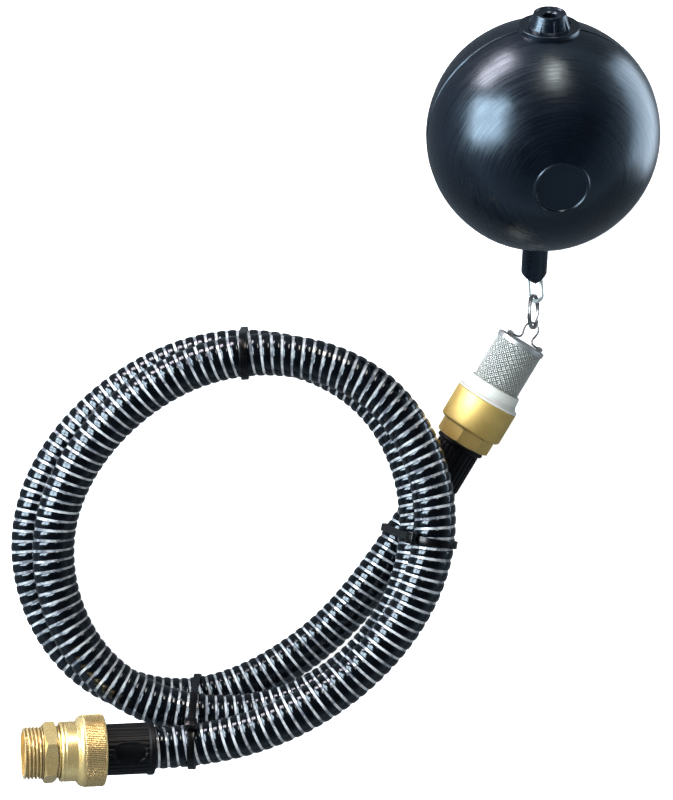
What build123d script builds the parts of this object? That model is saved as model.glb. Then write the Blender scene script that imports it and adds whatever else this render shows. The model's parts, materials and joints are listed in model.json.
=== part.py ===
from build123d import *
import math
import os

# Floating suction set: a ball float carries a strainer and foot valve on a short chain,
# and a coiled suction hose leads from the valve to a G1 threaded outlet.
# Units are millimetres. The origin is the centre of the outlet's end face, +Z is up.
# "Down the axis" positions of each straight assembly are lengths along its own local +Z.

# ---- where the assemblies lie, measured from the floor the set rests on ----
OUTLET_HEIGHT = 97.0          # outlet face centre above the floor
OUTLET_TILT = 15.0            # the outlet end looks up by this angle, degrees
VALVE_START = (263.0, 162.5)  # plan position of the valve end of the hose
VALVE_HEIGHT = 16.2
VALVE_HEADING = 59.4          # degrees from +X
VALVE_RISE = 7.0
FLOAT_CENTRE = (331.3, 394.7)
FLOAT_RADIUS = 75.0           # the float rests on the floor, so this is its height too
FLOAT_RISE = 34.0             # the boss end of the float's axis looks up by this angle
FLOAT_ROLL = 4.7

# ---- hose ----
HOSE_RADIUS = 13.75
HOSE_BORE = 10.0
COIL_CENTRE = (135.0, 135.0)
COIL_SPANS = 40               # pairs of arcs that follow the coil
COIL_POINTS = [               # plan angle, radius from the coil's centre, height above the floor
    (-90, 128.0, 73.6), (-45, 116.4, 73.5), (0, 126.5, 73.0), (45, 130.6, 68.5),
    (90, 117.0, 64.0), (135, 110.8, 60.0), (180, 120.8, 55.5), (225, 126.3, 51.0),
    (270, 118.3, 47.0), (315, 114.2, 45.5), (360, 118.2, 45.0), (405, 124.4, 40.5),
    (450, 121.9, 36.0), (495, 123.6, 31.5), (540, 139.2, 27.0), (580, 137.0, 23.0),
    (612, 116.9, 20.0), (645, 93.9, 17.2), (675, 87.8, 15.2), (700, 93.8, 14.8),
]

# ---- outlet: G1 pipe thread, hexagon, swivel nut, hose cuff ----
G1 = {"major": 16.62, "minor": 15.14, "pitch": 2.309}
G1_REAR = {"major": 16.3, "minor": 15.14, "pitch": 2.309}   # crests turned down a little
G34 = {"major": 13.22, "minor": 12.06, "pitch": 1.814}
THREAD_PLAY = 0.12
NIPPLE_BORE = 12.8
NIPPLE_HEX = 35.0             # across flats
HEX_START, HEX_END = 12.2, 20.6
NUT_START, NUT_END = 22.8, 51.4
NUT_RADIUS, KNURL_RADIUS = 19.0, 23.0
KNURL_START = 37.2
KNURL_TEETH = 120
KNURL_DEPTH = 0.45
REAR_THREAD = 23.7
NIPPLE_END = 33.4
TAIL_FLANGE = 35.4            # front face of the cuff's flange, behind the gasket
NUT_LIP = 38.5
NUT_RECESS = 42.3
OUTLET_CUFF_RADIUS = 16.5
OUTLET_CUFF_END = 83.2
OUTLET_SOCKET = 49.0          # the hose is pushed in this far

# ---- foot valve, from the hose end of its cuff ----
INLET_CUFF_RADIUS = 14.9
INLET_SOCKET = 28.0
INLET_COLLAR = (35.4, 38.0)
END_START, BODY_START, BODY_END = 39.0, 49.2, 72.5
END_FLATS = 35.5              # octagon across flats
BODY_RADIUS = 22.0
SPIGOT_RADIUS = 17.3
SPIGOT_END = 55.2
GUIDE_END = 56.6
SEAT = 64.0
SEAT_BACK = 65.8
SEAT_BORE = 9.8
POPPET_LIFT = 4.0
STEM_RADIUS = 2.0
STEM_PLAY = 0.08
COLLAR_RADIUS = 18.9
COLLAR_END = 83.2
MESH_RADIUS = 16.5
MESH_WALL = 0.8
COLLAR_LIP = 21.9
CAP_START, CAP_END = 113.9, 117.2

# ---- bail, ring, link ----
BAIL_WIRE = 0.75
BAIL_AXIS = CAP_END + 1.5
BAIL_SHIFT = 1.5
BAIL_DROOP = 26.0             # the bail hangs below the valve's axis by this angle
LUG_PLAY = 0.1
RING_CENTRE = (330.4, 282.9, 23.4)
RING_RADIUS = 11.15
RING_WIRE = 1.3               # square wire
RING_TURN = 2.0               # plan angle of the ring's long line off +Y
RING_LEAN = 70.0              # the ring's plane stands this far off level
LINK_WIRE = 1.3
LINK_LENGTH, LINK_WIDTH = 26.5, 11.2
LINK_PITCH = 43.5             # the link hangs this far off the float's axis

# ---- float ----
FLOAT_WALL = 2.5
LUG_RADIUS = 8.6
LUG_BORE = 6.9
LUG_SHOULDER, LUG_TIP = 96.7, 107.0
PIN_POSITION = 102.8
PIN_RADIUS = 1.5
FLANGE_RADIUS, FLANGE_TOP = 19.3, 75.8
FLANGE_SEAT = 72.4
BOSS_TOP = 84.2
BOSS_RIBS = 8
DISC_RADIUS = 17.2            # recessed round on the side of the float

# ---- cable ties: plan spot, heading of the strands there, and where the lock head sits round
# ---- the bundle (0 is away from the coil's centre, 90 is underneath) ----
TIES = {
    "coil_tie_top": ((138.5, 254.0), 183.0, 90.0),
    "coil_tie_right": ((254.0, 134.0), 80.0, 215.0),
    "coil_tie_bottom": ((105.5, 12.0), 0.0, 214.8),
}
TIE_WIDTH, TIE_THICK, TIE_PLAY = 4.8, 1.3, 0.35
TIE_HEAD = (5.2, 7.0, 7.6)
TIE_REACH = 34.0


# ---------------------------------------------------------------- helpers
def rod(radius, start, end):
    return Pos(0, 0, start) * Cylinder(radius, end - start, align=(Align.CENTER, Align.CENTER, Align.MIN))


def tube(outer, inner, start, end):
    return rod(outer, start, end) - rod(inner, start, end)


def turned(points):
    """Solid of revolution about Z from (radius, z) points."""
    return revolve(make_face(Plane.XZ * Polyline(*points, close=True)), axis=Axis.Z)


def thread_points(thread, start, turns, play=0.0):
    """Outline of ring-shaped thread crests, as (radius, z) points."""
    low, high, pitch = thread["minor"] + play, thread["major"] + play, thread["pitch"]
    points = []
    for turn in range(turns):
        base = start + turn * pitch
        points += [(low, base + pitch / 12), (high, base + pitch * 5 / 12)]
        points += [(high, base + pitch * 7 / 12), (low, base + pitch * 11 / 12)]
    return points


def threaded(thread, start, end, first, turns, play=0.0):
    low = thread["minor"] + play
    outline = [(0, start), (low, start)] + thread_points(thread, first, turns, play) + [(low, end), (0, end)]
    return turned(outline)


def prism(sides, flats, start, end, turn):
    outline = RegularPolygon(flats / 2, sides, major_radius=False, rotation=turn)
    return Pos(0, 0, start) * extrude(outline, end - start)


def corner_chamfer(flats, corners, start, end, depth):
    """Cone-ended blank that takes the sharp corners off a prism's two ends."""
    inner = flats / 2 - 0.2
    return turned([(0, start), (inner, start), (corners, start + depth), (corners, end - depth),
                   (inner, end), (0, end)])


def around(count, piece):
    return [Rot(0, 0, 360 * step / count) * piece for step in range(count)]


def wire_along(path, radius):
    """Round wire swept along a path that starts with a straight or smooth tangent."""
    section = Plane(origin=path @ 0, z_dir=path % 0) * Circle(radius)
    return sweep(section, path=path)


# ---------------------------------------------------------------- frames
def above_floor(x, y, height):
    return (x, y, height - OUTLET_HEIGHT)


def heading(plan_angle, rise):
    plan, up = math.radians(plan_angle), math.radians(rise)
    return (math.cos(up) * math.cos(plan), math.cos(up) * math.sin(plan), math.sin(up))


OUTLET = Plane(origin=(0, 0, 0), x_dir=(0, -1, 0), z_dir=heading(0, -OUTLET_TILT))
VALVE = Plane(origin=above_floor(*VALVE_START, VALVE_HEIGHT),
              x_dir=heading(VALVE_HEADING - 90, 0), z_dir=heading(VALVE_HEADING, VALVE_RISE))
FLOAT = Plane(Plane(origin=above_floor(*FLOAT_CENTRE, FLOAT_RADIUS), x_dir=(1, 0, 0),
                    z_dir=heading(90, FLOAT_RISE)).location * Rot(0, 0, FLOAT_ROLL))
# the bail's frame: X along its two feet, Z towards its loop
BAIL = Plane(VALVE.location * Pos(BAIL_SHIFT, 0, BAIL_AXIS) * Rot(-BAIL_DROOP, 0, 0))
# the ring's frame: Z is the normal of its plane
RING = Plane(Pos(*above_floor(*RING_CENTRE)) * Rot(0, 0, -RING_TURN) * Rot(0, RING_LEAN, 0))
# the link's frame: origin at the float's pin, Z away from the float, Y along the pin at zero pitch
LINK = Plane(FLOAT.location * Pos(0, 0, -PIN_POSITION) * Rot(180 - LINK_PITCH, 0, 0))


# ---------------------------------------------------------------- outlet
def outlet_nipple():
    outer = threaded(G1, -G1["pitch"], HEX_START + 0.2, -G1["pitch"] / 2, 6)
    hexagon = prism(6, NIPPLE_HEX, HEX_START, HEX_END, 6.7)
    hexagon &= corner_chamfer(NIPPLE_HEX, NIPPLE_HEX / 2 + 2.9, HEX_START, HEX_END, 1.7)
    rear = threaded(G1_REAR, HEX_END - 0.2, NIPPLE_END, REAR_THREAD, 4)
    front_cut = rod(G1["major"] + 1, -5, 0)
    mouth = turned([(0, -1), (15.0, -1), (NIPPLE_BORE, 1.2), (0, 1.2)])
    return outer + hexagon + rear - front_cut - rod(NIPPLE_BORE, -5, NIPPLE_END + 1) - mouth


def union_nut():
    shoulder = [(NUT_RADIUS + 1.2, KNURL_START - 3.2), (NUT_RADIUS + 2.4, KNURL_START - 2.4),
                (KNURL_RADIUS - 0.8, KNURL_START - 1.2), (KNURL_RADIUS - 0.5, KNURL_START)]
    blank = turned([(0, NUT_START), (NUT_RADIUS - 1.2, NUT_START), (NUT_RADIUS, NUT_START + 1.2),
                    (NUT_RADIUS, KNURL_START - 3.8)] + shoulder + [(0, KNURL_START)])
    teeth = []
    for step in range(2 * KNURL_TEETH):
        radius = KNURL_RADIUS - KNURL_DEPTH * (step % 2)
        angle = math.pi * step / KNURL_TEETH
        teeth.append((radius * math.cos(angle), radius * math.sin(angle)))
    knurl = Pos(0, 0, KNURL_START) * extrude(make_face(Polyline(*teeth, close=True)), NUT_END - KNURL_START)
    knurl &= turned([(0, KNURL_START), (22.2, KNURL_START), (KNURL_RADIUS + 0.1, KNURL_START + 1.2),
                     (KNURL_RADIUS + 0.1, NUT_END - 1.4), (21.6, NUT_END), (0, NUT_END)])
    female = threaded(G1, NUT_START - 1, NIPPLE_END, REAR_THREAD, 4, THREAD_PLAY)
    seat = rod(17.2, NIPPLE_END - 0.1, NUT_LIP)
    lip_hole = rod(14.15, NUT_LIP - 0.1, NUT_RECESS + 0.1)
    recess = rod(OUTLET_CUFF_RADIUS + 0.6, NUT_RECESS, NUT_END + 1)
    return blank + knurl - female - seat - lip_hole - recess


def union_gasket():
    return tube(16.4, NIPPLE_BORE, NIPPLE_END, TAIL_FLANGE)


def hose_cuff(outline, bore, socket_start, end, rib_count, rib_reach, rib_radius):
    """Turned cuff with long grip ribs; the hose pushes into its socket."""
    cuff = turned(outline)
    rib = Pos(rib_radius, 0, (rib_reach[0] + rib_reach[1]) / 2) * Box(0.9, 1.3, rib_reach[1] - rib_reach[0])
    cuff += around(rib_count, rib)
    return cuff - rod(bore, -1, end + 1) - rod(HOSE_RADIUS, min(socket_start), max(socket_start))


def outlet_cuff():
    collar = OUTLET_CUFF_END - 4.0
    outline = [(0, TAIL_FLANGE), (16.4, TAIL_FLANGE), (16.4, NUT_LIP - 0.1), (14.05, NUT_LIP - 0.1),
               (14.05, NUT_RECESS + 0.2), (OUTLET_CUFF_RADIUS - 0.4, NUT_RECESS + 0.2),
               (OUTLET_CUFF_RADIUS - 0.4, collar), (17.3, collar + 0.6), (17.3, OUTLET_CUFF_END - 0.6),
               (16.7, OUTLET_CUFF_END), (0, OUTLET_CUFF_END)]
    cuff = hose_cuff(outline, HOSE_BORE, (OUTLET_SOCKET, OUTLET_CUFF_END + 1), OUTLET_CUFF_END,
                     30, (NUT_END + 1.0, collar + 0.3), OUTLET_CUFF_RADIUS - 0.5)
    # two arched thumb recesses, front and back
    middle = (NUT_END + collar) / 2
    arch = SlotOverall(22, 13)
    for side in (-1, 1):
        pocket = Plane(origin=(0, side * (OUTLET_CUFF_RADIUS - 0.75), middle + 1), x_dir=(0, 0, 1),
                       z_dir=(0, side, 0)) * extrude(arch, 3)
        cuff -= pocket
    return cuff


def coil_line():
    """Smooth curve through the coil's points, tangent to both cuffs' axes."""
    knots = [OUTLET.from_local_coords(Vector(0, 0, OUTLET_CUFF_END + 2))]
    for plan_angle, radius, height in COIL_POINTS:
        angle = math.radians(plan_angle)
        x = COIL_CENTRE[0] + radius * math.cos(angle)
        y = COIL_CENTRE[1] + radius * math.sin(angle)
        knots.append(Vector(*above_floor(x, y, height)))
    knots.append(VALVE.from_local_coords(Vector(0, 0, -2)))
    return Spline(*knots, tangents=(OUTLET.z_dir, VALVE.z_dir), tangent_scalars=(1, 1))


def arc_pair(start, start_way, end, end_way):
    """Two arcs that meet smoothly, from start to end, with the given directions at both ends."""
    span, both = end - start, start_way + end_way
    spread = 2 * (1 - start_way.dot(end_way))
    lean = span.dot(both)
    reach = (math.sqrt(lean * lean + spread * span.dot(span)) - lean) / spread
    middle = (start + start_way * reach + end - end_way * reach) / 2
    return TangentArc(start, middle, tangent=start_way), TangentArc(end, middle, tangent=-end_way)


def bend(arc, way, radius):
    """Round bar along one arc that leaves its first point in the given direction."""
    start, end, centre = arc @ 0, arc @ 1, arc.edge().arc_center
    axis = (start - centre).cross(way)
    angle = (start - centre).get_angle(end - centre)
    section = Plane(origin=start, z_dir=way) * Circle(radius)
    return revolve(section, axis=Axis(centre, axis), revolution_arc=angle)


def hose_bar(radius):
    """Straight inside both cuffs, and a chain of smooth arcs along the coil between them."""
    coil = coil_line()
    pieces = [OUTLET.location * rod(radius, OUTLET_SOCKET, OUTLET_CUFF_END + 2)]
    for step in range(COIL_SPANS):
        here, there = step / COIL_SPANS, (step + 1) / COIL_SPANS
        first, second = arc_pair(coil @ here, coil % here, coil @ there, coil % there)
        pieces.append(bend(first, coil % here, radius))
        pieces.append(bend(second, -(coil % there), radius))
    pieces.append(VALVE.location * rod(radius, -2, INLET_SOCKET))
    return pieces[0].fuse(*pieces[1:])


def suction_hose():
    return hose_bar(HOSE_RADIUS) - hose_bar(HOSE_BORE)


# ---------------------------------------------------------------- foot valve
def inlet_cuff():
    first, last = INLET_COLLAR
    outline = [(0, 0), (INLET_CUFF_RADIUS - 0.4, 0), (INLET_CUFF_RADIUS, 0.6), (INLET_CUFF_RADIUS, 5),
               (14.4, 6), (14.4, first), (16.2, first + 0.4), (16.7, first + 1.0),
               (16.7, last - 0.4), (16.3, last)]
    outline += [(G34["minor"], last)] + thread_points(G34, last + 1.2, 4) + [(G34["minor"], 47.4), (0, 47.4)]
    return hose_cuff(outline, 9.5, (-1, INLET_SOCKET), 47.4, 24, (7, first + 0.3), 14.3)


def inlet_gasket():
    return tube(16.0, 13.4, INLET_COLLAR[1], END_START)


def valve_end():
    octagon = prism(8, END_FLATS, END_START, BODY_START, 9.3)
    octagon &= corner_chamfer(END_FLATS, END_FLATS / 2 + 1.6, END_START, BODY_START, 1.0)
    spigot = rod(SPIGOT_RADIUS, BODY_START - 0.2, SPIGOT_END)
    female = threaded(G34, END_START - 1, 47.6, INLET_COLLAR[1] + 1.2, 4, THREAD_PLAY)
    return octagon + spigot - female - rod(14.5, 47.5, SPIGOT_END + 1)


def valve_body():
    blank = turned([(0, BODY_START), (20.6, BODY_START), (BODY_RADIUS, BODY_START + 1.4),
                    (BODY_RADIUS, BODY_END - 0.5), (BODY_RADIUS - 0.5, BODY_END), (0, BODY_END)])
    seal_groove = rod(19.1, BODY_START - 1, BODY_START + 1.8)
    half_joint = rod(SPIGOT_RADIUS + 0.1, BODY_START - 1, GUIDE_END)
    chamber = rod(15.6, GUIDE_END - 0.1, SEAT)
    orifice = rod(SEAT_BORE, SEAT - 0.1, SEAT_BACK + 0.1)
    inlet = threaded(G34, SEAT_BACK, BODY_END + 1, SEAT_BACK + 0.6, 3, THREAD_PLAY)
    mouth = rod(G34["major"] + THREAD_PLAY, BODY_END - 0.6, BODY_END + 1)
    return blank - seal_groove - half_joint - chamber - orifice - inlet - mouth


def body_seal():
    return Pos(0, 0, BODY_START + 0.9) * Torus(18.2, 0.82)


def spring_guide():
    """Basket clamped between the two brass halves; its hub guides the poppet's stem."""
    basket = turned([(12.9, 51.0), (14.4, 51.0), (14.4, SPIGOT_END), (SPIGOT_RADIUS, SPIGOT_END),
                     (SPIGOT_RADIUS, GUIDE_END), (12.9, GUIDE_END)])
    arm = Pos(8.4, 0, 52.0) * Box(10.0, 2.4, 2.0)
    hub = rod(4.0, 50.0, GUIDE_END)
    return basket + around(3, arm) + hub - rod(STEM_RADIUS + STEM_PLAY, 49, 58)


def poppet():
    """Stem and disc; the stem's neck still clears the hub when the poppet is fully lifted."""
    neck = GUIDE_END + POPPET_LIFT + 0.2
    return turned([(0, 46.0), (STEM_RADIUS - 0.5, 46.0), (STEM_RADIUS, 46.5), (STEM_RADIUS, neck), (4.0, 61.4),
                   (13.0, 61.4), (13.0, 62.8), (7.8, 62.8), (7.8, SEAT), (0, SEAT)])


def poppet_seal():
    return tube(13.0, 7.9, 62.8, SEAT)


def poppet_spring():
    turns, wire = 4.5, 0.45
    first, last = 53.0 + wire, 61.4 - wire
    coil = Pos(0, 0, first) * Helix(pitch=(last - first) / turns, height=last - first, radius=6.5)
    section = Plane(origin=coil @ 0, z_dir=coil % 0) * Circle(wire)
    return sweep(section, path=coil, is_frenet=True)


def strainer_collar():
    stub = threaded(G34, SEAT_BACK + 0.2, BODY_END + 0.2, SEAT_BACK + 0.6, 3)
    skirt = turned([(0, BODY_END), (COLLAR_LIP - 0.3, BODY_END), (COLLAR_LIP, BODY_END + 0.5),
                    (COLLAR_LIP - 0.3, BODY_END + 1.3), (COLLAR_RADIUS + 0.9, BODY_END + 2.4),
                    (COLLAR_RADIUS, BODY_END + 4.5), (COLLAR_RADIUS - 0.5, COLLAR_END - 0.6),
                    (COLLAR_RADIUS - 1.1, COLLAR_END), (0, COLLAR_END)])
    return stub + skirt - rod(10.0, 60, 80) - rod(MESH_RADIUS + 0.1, 76.0, COLLAR_END + 1)


def strainer_mesh():
    return tube(MESH_RADIUS, MESH_RADIUS - MESH_WALL, 76.0, CAP_END - 0.6)


def strainer_cap():
    cup = turned([(0, CAP_END - 0.6), (MESH_RADIUS + 0.05, CAP_END - 0.6), (MESH_RADIUS + 0.05, CAP_START),
                  (MESH_RADIUS + 0.6, CAP_START), (MESH_RADIUS + 0.6, CAP_END - 0.5), (MESH_RADIUS + 0.1, CAP_END),
                  (0, CAP_END)])
    return cup


def bail_lugs():
    """Two bent clips on the cap that hold the feet of the bail."""
    hole = BAIL_WIRE + LUG_PLAY
    knuckle = Rot(0, 90, 0) * Cylinder(hole + 0.65, 3.2)
    tab = Pos(0, 0, CAP_END - BAIL_AXIS + 0.3) * Box(3.2, 6.4, 0.6)
    clip = knuckle + tab - Rot(0, 90, 0) * Cylinder(hole, 6)
    clips = [Pos(BAIL_SHIFT + side * 11.0, 0, BAIL_AXIS) * clip for side in (-1, 1)]
    return Compound(children=clips)


def strainer_bail():
    """Omega-shaped wire: two straight feet in the clips, a neck and a round loop."""
    left = Line((-13.4, 0, 0), (-7.2, 0, 0))
    right = Line((7.2, 0, 0), (13.4, 0, 0))
    loop = Spline((-7.2, 0, 0), (-3.9, 0, 3.2), (-4.7, 0, 9.5), (0, 0, 14.3), (4.7, 0, 9.5), (3.9, 0, 3.2),
                  (7.2, 0, 0), tangents=((1, 0, 0), (1, 0, 0)))
    return wire_along(Wire([left, loop.edge(), right]), BAIL_WIRE)


def split_ring():
    """Key ring of square wire: just under two turns, stepping from one layer to the other half way."""
    sweep_angle, step_angle, points = 690.0, 60.0, 46
    layer = RING_WIRE + 0.04
    line = []
    for index in range(points + 1):
        angle = sweep_angle * index / points
        share = min(max((angle - (sweep_angle - step_angle) / 2) / step_angle, 0), 1)
        rise = layer * (share * share * (3 - 2 * share) - 0.5)
        turn = math.radians(angle)
        line.append((RING_RADIUS * math.cos(turn), RING_RADIUS * math.sin(turn), rise))
    path = Spline(*line)
    start = Plane(origin=path @ 0, z_dir=path % 0, x_dir=(0, 0, 1))
    section = start * RectangleRounded(RING_WIRE, RING_WIRE, 0.3)
    return sweep(section, path=path)


def chain_link():
    """Oval link of round wire, its upper end round the float's pin."""
    half_width = LINK_WIDTH / 2 - LINK_WIRE
    top = -(PIN_RADIUS + LINK_WIRE + 0.15) / math.cos(math.radians(LINK_PITCH))
    bottom = top + LINK_LENGTH - 2 * LINK_WIRE
    straight = (top + half_width, bottom - half_width)
    path = Wire([
        Line((-half_width, 0, straight[0]), (-half_width, 0, straight[1])),
        ThreePointArc((-half_width, 0, straight[1]), (0, 0, bottom), (half_width, 0, straight[1])),
        Line((half_width, 0, straight[1]), (half_width, 0, straight[0])),
        ThreePointArc((half_width, 0, straight[0]), (0, 0, top), (-half_width, 0, straight[0])),
    ])
    return wire_along(path, LINK_WIRE)


# ---------------------------------------------------------------- float
def float_shell():
    """Blow-moulded ball with a hollow chisel-ended lug below and a threaded seat for the plug above."""
    ball = Sphere(FLOAT_RADIUS) - Sphere(FLOAT_RADIUS - FLOAT_WALL)
    lug = rod(LUG_RADIUS, -LUG_TIP, -70)
    wedge = Polyline((-20, -LUG_SHOULDER), (0, -LUG_TIP), (20, -LUG_SHOULDER), (20, -60), (-20, -60),
                     close=True)
    lug &= extrude(make_face(Plane.XZ * wedge), 20, both=True)
    lug -= rod(LUG_BORE, -LUG_TIP - 1, -PIN_POSITION + 7)
    shell = ball + (lug - Sphere(FLOAT_RADIUS - 1))
    shell -= rod(FLANGE_RADIUS + 0.1, FLANGE_SEAT, FLOAT_RADIUS + 5)
    neck = rod(14.0, FLANGE_SEAT - 9, FLANGE_SEAT)
    shell = shell + neck - rod(12.0, FLANGE_SEAT - 10, FLANGE_SEAT + 1)
    recess = Plane(origin=(0, -FLOAT_RADIUS, 0), x_dir=(1, 0, 0), z_dir=(0, -1, 0))
    shell -= recess * Pos(0, 0, -2.35) * Cylinder(DISC_RADIUS, 3, align=(Align.CENTER, Align.CENTER, Align.MIN))
    pin_hole = Pos(0, 2, -PIN_POSITION) * Rot(90, 0, 0) * Cylinder(PIN_RADIUS, 18.2)
    return shell - pin_hole


def float_plug():
    """Ribbed boss on a flange, screwed into the top of the float."""
    flange = turned([(0, FLANGE_SEAT), (FLANGE_RADIUS, FLANGE_SEAT), (FLANGE_RADIUS, FLANGE_TOP - 0.8),
                     (FLANGE_RADIUS - 0.8, FLANGE_TOP), (13.2, FLANGE_TOP), (12.4, FLANGE_TOP + 1),
                     (10.4, BOSS_TOP - 0.7), (9.7, BOSS_TOP), (0, BOSS_TOP)])
    rib = Polyline((8, 0, FLANGE_TOP - 0.5), (13.9, 0, FLANGE_TOP - 0.5), (10.6, 0, BOSS_TOP - 1.6),
                   (8, 0, BOSS_TOP - 1.6), close=True)
    flange += around(BOSS_RIBS, extrude(make_face(rib), 0.9, both=True))
    stem = rod(11.9, FLANGE_SEAT - 9, FLANGE_SEAT + 0.2)
    return flange + stem - rod(4.2, BOSS_TOP - 8, BOSS_TOP + 1)


def link_pin():
    return Pos(0, 2, -PIN_POSITION) * Rot(90, 0, 0) * Cylinder(PIN_RADIUS - 0.02, 18.0)


# ---------------------------------------------------------------- cable ties
def strand_crossings(path, plane, reach):
    """Places where the hose's centreline crosses a plane near the plane's origin."""
    steps = 2400
    places = []
    samples = [plane.to_local_coords(path @ (step / steps)) for step in range(steps + 1)]
    for near, far in zip(samples, samples[1:]):
        if near.Z * far.Z <= 0 and abs(near.X) < reach:
            run = far - near
            place = near + run * (near.Z / (near.Z - far.Z))
            square = abs(run.Z) / run.length
            lean = math.sqrt(1 - square * square) / square
            places.append((place, HOSE_RADIUS / square + lean * TIE_WIDTH / 2 + TIE_PLAY))
    return places


def hull_of_discs(places, growth):
    discs = [(Pos(place.X, place.Y) * Circle(radius + growth)).edge() for place, radius in places]
    return make_hull(discs)


def coil_tie(spot, heading_angle, head_angle):
    """Nylon band pulled round the strands that pass over a plan spot, with its lock head on the outside."""
    plane = Plane(origin=above_floor(*spot, 0), x_dir=heading(heading_angle - 90, 0),
                  z_dir=heading(heading_angle, 0))
    crossings = strand_crossings(coil_line(), plane, TIE_REACH)
    band = extrude(hull_of_discs(crossings, TIE_THICK) - hull_of_discs(crossings, 0), TIE_WIDTH / 2, both=True)
    way = Vector(math.cos(math.radians(head_angle)), math.sin(math.radians(head_angle)), 0)
    seat, radius = max(crossings, key=lambda item: Vector(item[0].X, item[0].Y, 0).dot(way) + item[1])
    face = radius + TIE_THICK - 0.2
    head = Pos(face + TIE_HEAD[0] / 2, 0, 0) * Box(*TIE_HEAD)
    stub = Pos(face + 2.4, -TIE_HEAD[1] / 2 - 1.4, 0) * Box(TIE_THICK, 3.0, TIE_WIDTH)
    lock = Pos(seat.X, seat.Y, 0) * Rot(0, 0, head_angle) * (head + stub)
    return plane.location * (band + lock)


# ---------------------------------------------------------------- write the pieces
PIECES = [
    (OUTLET, [outlet_nipple, union_nut, union_gasket, outlet_cuff]),
    (VALVE, [inlet_cuff, inlet_gasket, valve_end, valve_body, body_seal, spring_guide, poppet, poppet_seal,
             poppet_spring, strainer_collar, strainer_mesh, strainer_cap, bail_lugs]),
    (BAIL, [strainer_bail]),
    (RING, [split_ring]),
    (LINK, [chain_link]),
    (FLOAT, [float_shell, float_plug, link_pin]),
]

os.makedirs("parts", exist_ok=True)
for frame, builders in PIECES:
    for build in builders:
        export_step(frame.location * build(), f"parts/{build.__name__}.step")
export_step(suction_hose(), "parts/suction_hose.step")
for name, (spot, angle, head_angle) in TIES.items():
    export_step(coil_tie(spot, angle, head_angle), f"parts/{name}.step")
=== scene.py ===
import json
import math

import bmesh
import bpy
import numpy as np
from mathutils import Matrix, Vector


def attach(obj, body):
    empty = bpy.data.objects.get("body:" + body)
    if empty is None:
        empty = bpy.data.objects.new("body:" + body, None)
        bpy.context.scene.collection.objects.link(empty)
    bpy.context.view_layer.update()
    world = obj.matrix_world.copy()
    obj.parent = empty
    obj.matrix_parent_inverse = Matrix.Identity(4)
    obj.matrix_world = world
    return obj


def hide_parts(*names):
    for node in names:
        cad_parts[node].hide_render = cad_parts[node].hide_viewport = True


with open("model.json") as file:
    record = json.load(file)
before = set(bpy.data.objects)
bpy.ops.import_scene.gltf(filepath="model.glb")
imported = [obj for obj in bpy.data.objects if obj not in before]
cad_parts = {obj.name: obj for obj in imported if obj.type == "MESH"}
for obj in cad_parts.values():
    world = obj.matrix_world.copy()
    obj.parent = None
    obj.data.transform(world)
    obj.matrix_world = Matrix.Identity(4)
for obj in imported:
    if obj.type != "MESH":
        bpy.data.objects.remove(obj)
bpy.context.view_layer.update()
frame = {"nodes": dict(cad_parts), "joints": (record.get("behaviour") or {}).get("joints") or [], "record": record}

# Sizes are in millimetres in the local frame of each straight assembly; meshes are stored in metres.
MM = 0.001
JOINTS = {joint["name"]: joint for joint in frame["joints"]}

OUTLET_HEIGHT = 97.0          # outlet face centre above the floor
FLOOR = -OUTLET_HEIGHT * MM - 0.0002
FLOOR_HALF = 4.0              # metres from the middle of the floor to its edge

# hose
HOSE_RADIUS, HOSE_BORE = 13.75, 10.0
WALL_RADIUS = 13.05           # clear wall seen between the black turns
RIB_PITCH, RIB_WIDTH = 6.6, 5.0
RIB_STEPS = 40                # mesh steps round one turn
COIL_CENTRE = (135.0, 135.0)
COIL_POINTS = [               # plan angle, radius from the coil's centre, height above the floor
    (-90, 128.0, 73.6), (-45, 116.4, 73.5), (0, 126.5, 73.0), (45, 130.6, 68.5),
    (90, 117.0, 64.0), (135, 110.8, 60.0), (180, 120.8, 55.5), (225, 126.3, 51.0),
    (270, 118.3, 47.0), (315, 114.2, 45.5), (360, 118.2, 45.0), (405, 124.4, 40.5),
    (450, 121.9, 36.0), (495, 123.6, 31.5), (540, 139.2, 27.0), (580, 137.0, 23.0),
    (612, 116.9, 20.0), (645, 93.9, 17.2), (675, 87.8, 15.2), (700, 93.8, 14.8),
]

# outlet
THREAD_PITCH, THREAD_MAJOR, THREAD_MINOR = 2.309, 16.62, 15.14
NIPPLE_BORE = 12.8
HEX_FLATS, HEX_TURN = 35.0, 6.7
HEX_START, HEX_END = 12.2, 20.6
NIPPLE_END = 33.4
NUT_START, NUT_END = 22.8, 51.4
KNURL_START, KNURL_TEETH = 37.2, 120
TAIL_FLANGE, NUT_LIP, NUT_RECESS = 35.4, 38.5, 42.3
OUTLET_CUFF_END, OUTLET_SOCKET = 83.2, 49.0

# foot valve
OCTAGON_FLATS, OCTAGON_TURN = 35.5, 9.3
CAP_START = 113.9
MESH_RADIUS = 16.5
BAIL_AXIS, BAIL_SHIFT, BAIL_DROOP = 118.7, 1.5, 26.0
BAIL_WIRE = 0.75

# ring and link
RING_RADIUS, RING_WIRE, RING_LEAN, RING_HEADING = 11.15, 1.3, 70.0, -2.0
LINK_WIRE, LINK_LENGTH, LINK_WIDTH, LINK_PITCH = 1.3, 26.5, 11.2, 43.5

# float
FLOAT_RADIUS, FLOAT_RISE = 75.0, 34.0
LUG_RADIUS, LUG_TIP, LUG_BORE, LUG_SLOPE = 8.6, 107.0, 6.9, 0.515
PIN_POSITION, PIN_RADIUS = 102.8, 1.5
FLANGE_RADIUS, FLANGE_SEAT, FLANGE_TOP, BOSS_TOP = 19.3, 72.4, 75.8, 84.2
BOSS_RIBS = 8
DISC_RADIUS = 17.2

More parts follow.
